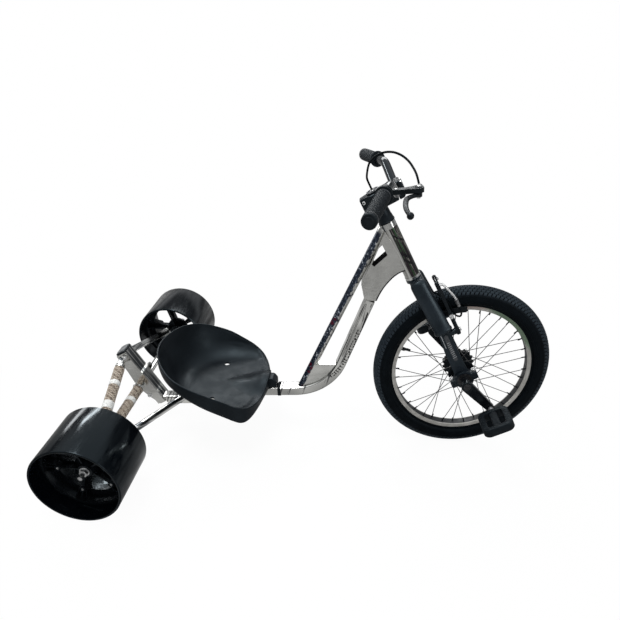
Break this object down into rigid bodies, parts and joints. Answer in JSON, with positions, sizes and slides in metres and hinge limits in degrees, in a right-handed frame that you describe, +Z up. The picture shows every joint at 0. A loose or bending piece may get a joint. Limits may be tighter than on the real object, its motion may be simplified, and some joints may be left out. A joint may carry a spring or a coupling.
{
  "type": "drift trike",
  "caption": "Low three-wheeled drift trike: a large pedalled and steered front wheel, a bucket seat on a bent tube frame and two wide smooth plastic rear rollers.",
  "frame": {"origin": "on the floor, at the middle of the length and width", "axes": "+X forward, +Y to the rider's left, +Z up"},
  "size_m": [1.3311, 0.944, 0.8383],
  "materials": {
    "frame_chrome": "bright chrome",
    "headset_metal": "bright",
    "top_bar_finish": "dark blue over chrome",
    "cap_plastic": "satin",
    "cover_weave": "woven",
    "black_paint": "satin black",
    "plain_steel": "plain",
    "seat_plastic": "fine grain",
    "black_rubber": "matt",
    "sleeve_plastic": "gloss",
    "core_plastic": "satin",
    "grip_rubber": "textured",
    "lever_paint": "satin",
    "pedal_plastic": "matt",
    "tyre_rubber": "matt",
    "rim_aluminium": "machined sidewall",
    "spoke_steel": "dark",
    "bright_steel": "bright",
    "cable_cover": "smooth"
  },
  "bodies": {
    "trike_frame": {"main_tube": "frame_chrome", "head_tube": "frame_chrome", "headset_cups": "headset_metal", "top_bar": "top_bar_finish", "neck_box": "frame_chrome", "lower_gusset": "frame_chrome", "rear_post": "frame_chrome", "post_cap": "cap_plastic", "post_side_plates": "frame_chrome", "rear_tube": "frame_chrome", "rear_axle_tube": "frame_chrome", "axle_end_plates": "frame_chrome", "rear_struts": "frame_chrome", "rear_stays": "frame_chrome", "braided_covers": "cover_weave", "axle_clamps": "frame_chrome", "axle_strap": "frame_chrome", "rear_axle_shaft": "plain_steel", "axle_spacers_and_nuts": "plain_steel", "bucket_seat": "seat_plastic", "seat_bracket": "black_paint", "seat_band": "black_rubber"},
    "steering_assembly": {"steerer_tube": "plain_steel", "headset_cover": "black_paint", "handlebar": "black_paint", "stem": "black_paint", "stem_face_plate": "black_paint", "grips": "grip_rubber", "brake_lever_perch": "lever_paint", "brake_lever": "lever_paint", "fork_upper_legs": "black_paint", "fork_crown": "black_paint", "fork_blades": "black_paint", "axle_clamp_caps": "black_paint", "axle_bearings": "plain_steel", "brake_arms": "black_paint", "brake_pads": "black_rubber", "brake_noodle": "bright_steel", "brake_cable": "cable_cover"},
    "front_wheel": {"front_tyre": "tyre_rubber", "front_rim": "rim_aluminium", "front_hub": "black_paint", "front_spokes": "spoke_steel"},
    "crank_set": {"crank_spindle": "plain_steel", "crank_arms": "black_paint"},
    "pedal_body_left": {"pedal_left": "pedal_plastic"},
    "pedal_body_right": {"pedal_right": "pedal_plastic"},
    "rear_wheel_left": {"rear_sleeve_left": "sleeve_plastic", "rear_wheel_core_left": "core_plastic"},
    "rear_wheel_right": {"rear_sleeve_right": "sleeve_plastic", "rear_wheel_core_right": "core_plastic"}
  },
  "joints": [
    {"name": "steering_turn", "type": "hinge", "parent": "trike_frame", "child": "steering_assembly", "pos_m": [0.20142, 0, 0.58801], "axis": [-0.515, 0, 0.8572], "range_deg": [-49, 41]},
    {"name": "front_wheel_spin", "type": "hinge", "parent": "steering_assembly", "child": "front_wheel", "pos_m": [0.41273, 0.0006, 0.25299], "axis": [-0.0598, 0.9976, -0.0359], "continuous": true},
    {"name": "crank_turn", "type": "hinge", "parent": "steering_assembly", "child": "crank_set", "pos_m": [0.41273, 0.0006, 0.25299], "axis": [-0.0598, 0.9976, -0.0359], "continuous": true},
    {"name": "pedal_left_spin", "type": "hinge", "parent": "crank_set", "child": "pedal_body_left", "pos_m": [0.32495, 0.16992, 0.31309], "axis": [-0.0598, 0.9976, -0.0359], "continuous": true},
    {"name": "pedal_right_spin", "type": "hinge", "parent": "crank_set", "child": "pedal_body_right", "pos_m": [0.50051, -0.16872, 0.19288], "axis": [-0.0598, 0.9976, -0.0359], "continuous": true},
    {"name": "rear_wheel_left_spin", "type": "hinge", "parent": "trike_frame", "child": "rear_wheel_left", "pos_m": [-0.55125, 0.382, 0.1145], "axis": [0, 1, 0], "continuous": true},
    {"name": "rear_wheel_right_spin", "type": "hinge", "parent": "trike_frame", "child": "rear_wheel_right", "pos_m": [-0.55125, -0.382, 0.1145], "axis": [0, 1, 0], "continuous": true}
  ]
}
